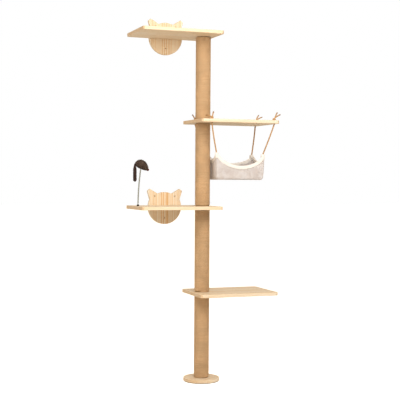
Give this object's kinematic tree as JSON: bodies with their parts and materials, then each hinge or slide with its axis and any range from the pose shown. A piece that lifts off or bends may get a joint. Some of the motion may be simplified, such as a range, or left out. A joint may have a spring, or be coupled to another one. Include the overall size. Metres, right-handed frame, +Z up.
{
  "type": "wall mounted cat tree",
  "caption": "Tall sisal-post cat tree with offset pine boards, cat-head wall plates, a rope-hung cloth hammock and a spring-mounted toy mouse.",
  "frame": {"origin": "centre of the rubber pad under the foot, on the column's axis, at floor level", "axes": "+Z up along the column, +Y towards the wall, +X towards the side that the first and third boards reach to"},
  "size_m": [0.6998, 0.296, 1.7618],
  "materials": {
    "pine": "clear matt lacquer on finger-jointed pine",
    "sisal": "natural sisal cord, close wound",
    "paper_tube": "raw spiral-wound paperboard",
    "plug_wood": "turned softwood",
    "zinc_steel": "zinc plated",
    "rubber_pad": "matt rubber sheet",
    "plush_cloth": "short-pile plush",
    "binding_cloth": "folded fleece binding",
    "jute_rope": "three-strand jute",
    "dark_metal": "satin dark lacquer",
    "spring_steel": "bright drawn wire",
    "mouse_fur": "short dark fur",
    "nose_felt": "red felt",
    "bead_plastic": "polished bead",
    "tail_fleece": "rolled dark fleece"
  },
  "bodies": {
    "root": {"floor_pad": "rubber_pad", "base_disc": "pine", "end_bolts": "zinc_steel", "joining_studs": "zinc_steel", "plug_inserts": "zinc_steel", "post_tube_1": "paper_tube", "sisal_wrap_1": "sisal", "lower_plug_1": "plug_wood", "upper_plug_1": "plug_wood", "board_1": "pine", "post_tube_2": "paper_tube", "sisal_wrap_2": "sisal", "lower_plug_2": "plug_wood", "upper_plug_2": "plug_wood", "board_2": "pine", "post_tube_3": "paper_tube", "sisal_wrap_3": "sisal", "lower_plug_3": "plug_wood", "upper_plug_3": "plug_wood", "board_3": "pine", "post_tube_4": "paper_tube", "sisal_wrap_4": "sisal", "lower_plug_4": "plug_wood", "upper_plug_4": "plug_wood", "board_4": "pine", "cat_head_plate_2": "pine", "plate_screws_2": "zinc_steel", "cat_head_plate_4": "pine", "plate_screws_4": "zinc_steel", "rope_knot_front_left": "jute_rope", "rope_knot_front_right": "jute_rope", "rope_knot_back_left": "jute_rope", "rope_knot_back_right": "jute_rope", "toy_socket": "dark_metal"},
    "hammock": {"hammock_floor": "plush_cloth", "hammock_front": "plush_cloth", "hammock_back": "plush_cloth", "hammock_end_left": "plush_cloth", "hammock_end_right": "plush_cloth", "hammock_binding": "binding_cloth", "corner_sleeve_front_left": "binding_cloth", "corner_sleeve_front_right": "binding_cloth", "corner_sleeve_back_left": "binding_cloth", "corner_sleeve_back_right": "binding_cloth"},
    "front_ropes": {"hammock_rope_front_left": "jute_rope", "hammock_rope_front_right": "jute_rope"},
    "back_ropes": {"hammock_rope_back_left": "jute_rope", "hammock_rope_back_right": "jute_rope"},
    "spring_wand": {"toy_foot": "spring_steel", "toy_spring": "spring_steel", "toy_cap": "spring_steel"},
    "mouse": {"mouse_body": "mouse_fur", "mouse_head": "mouse_fur", "mouse_nose": "nose_felt", "mouse_eyes": "bead_plastic"},
    "tail": {"mouse_tail": "tail_fleece"}
  },
  "joints": [
    {"name": "hammock_swing", "type": "hinge", "parent": "root", "child": "front_ropes", "pos_m": [0.1665, -0.115, 1.2467], "axis": [1, 0, 0], "range_deg": [-12, 12]},
    {"name": "hammock_tilt", "type": "hinge", "parent": "front_ropes", "child": "hammock", "pos_m": [0.1665, -0.068, 1.107], "axis": [1, 0, 0], "range_deg": [-20.26, 20.26]},
    {"name": "back_rope_swing", "type": "hinge", "parent": "root", "child": "back_ropes", "pos_m": [0.1665, 0.115, 1.2467], "axis": [1, 0, 0], "range_deg": [-12.2, 12.2]},
    {"name": "spring_sway", "type": "hinge", "parent": "root", "child": "spring_wand", "pos_m": [-0.3225, 0.01, 0.8553], "axis": [0, 1, 0], "range_deg": [-25, 25], "stiffness_Nm_per_rad": 0.6},
    {"name": "mouse_rock", "type": "hinge", "parent": "spring_wand", "child": "mouse", "pos_m": [-0.3095, 0.01, 1.031], "axis": [1, 0, 0], "range_deg": [-20, 20], "stiffness_Nm_per_rad": 0.06},
    {"name": "tail_swing", "type": "hinge", "parent": "mouse", "child": "tail", "pos_m": [-0.33829, 0.01, 1.04799], "axis": [1, 0, 0], "range_deg": [-45, 45]}
  ],
  "couplings": [
    {"joint": "hammock_tilt", "follows": "hammock_swing", "ratio": -1.6715},
    {"joint": "back_rope_swing", "follows": "hammock_swing", "ratio": 1}
  ]
}
